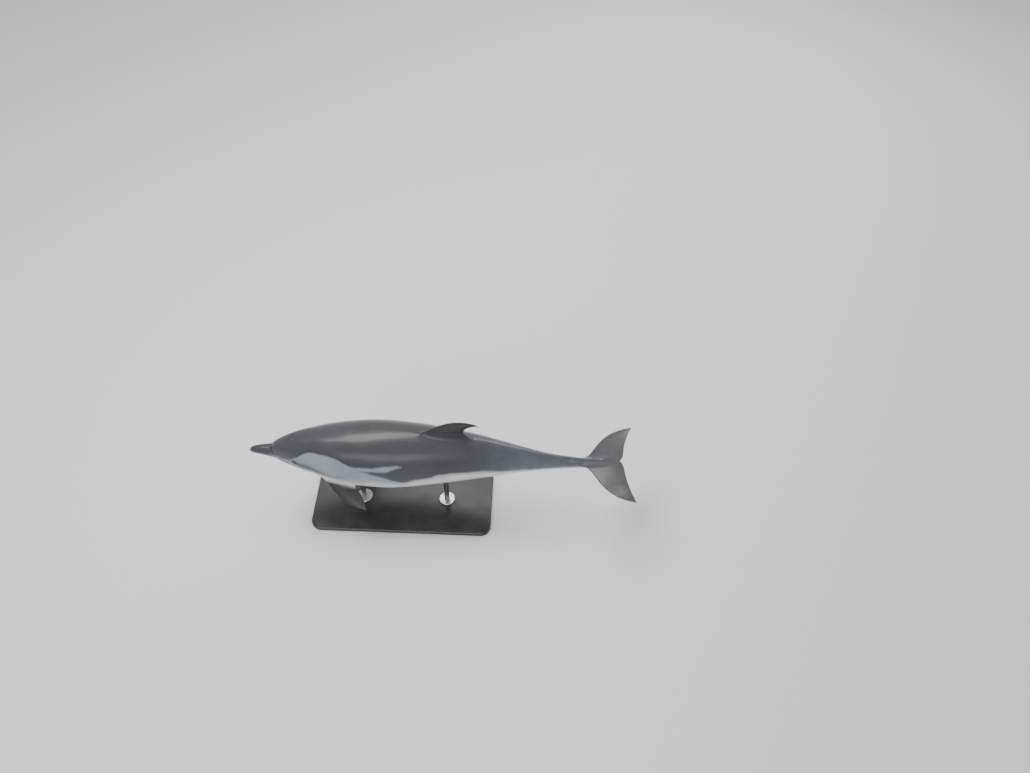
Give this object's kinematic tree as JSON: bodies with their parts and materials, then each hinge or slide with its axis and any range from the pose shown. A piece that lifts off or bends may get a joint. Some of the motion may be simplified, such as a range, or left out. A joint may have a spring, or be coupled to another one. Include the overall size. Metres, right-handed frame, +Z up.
{
  "type": "bottlenose dolphin",
  "caption": "Life-size bottlenose dolphin in a level swimming pose, slender beak, sickle-shaped dorsal fin and level flukes, held above a flat display base by upright rods.",
  "frame": {"origin": "middle of the stand base's underside", "axes": "+Z up; the beak points along -X and the flukes along +X; the animal's left side faces -Y"},
  "size_m": [2.5459, 0.6392, 0.9544],
  "materials": {
    "skin_dark": "wet, smooth dark grey skin",
    "skin_pale": "wet, smooth pale grey skin",
    "eye": "glossy dark brown",
    "stand_board": "black satin lacquer",
    "stand_steel": "brushed"
  },
  "bodies": {
    "root": {"upper_beak": "skin_dark", "lower_jaw": "skin_pale", "head": "skin_dark", "chest": "skin_dark", "trunk": "skin_dark", "tail_stock": "skin_dark", "fluke_left": "skin_dark", "fluke_right": "skin_dark", "dorsal_fin": "skin_dark", "flipper_left": "skin_dark", "flipper_right": "skin_dark", "eye_left": "eye", "eye_right": "eye", "stand_base": "stand_board", "stand_rod_front": "stand_steel", "stand_rod_rear": "stand_steel", "stand_flange_front": "stand_steel", "stand_flange_rear": "stand_steel"}
  },
  "joints": []
}
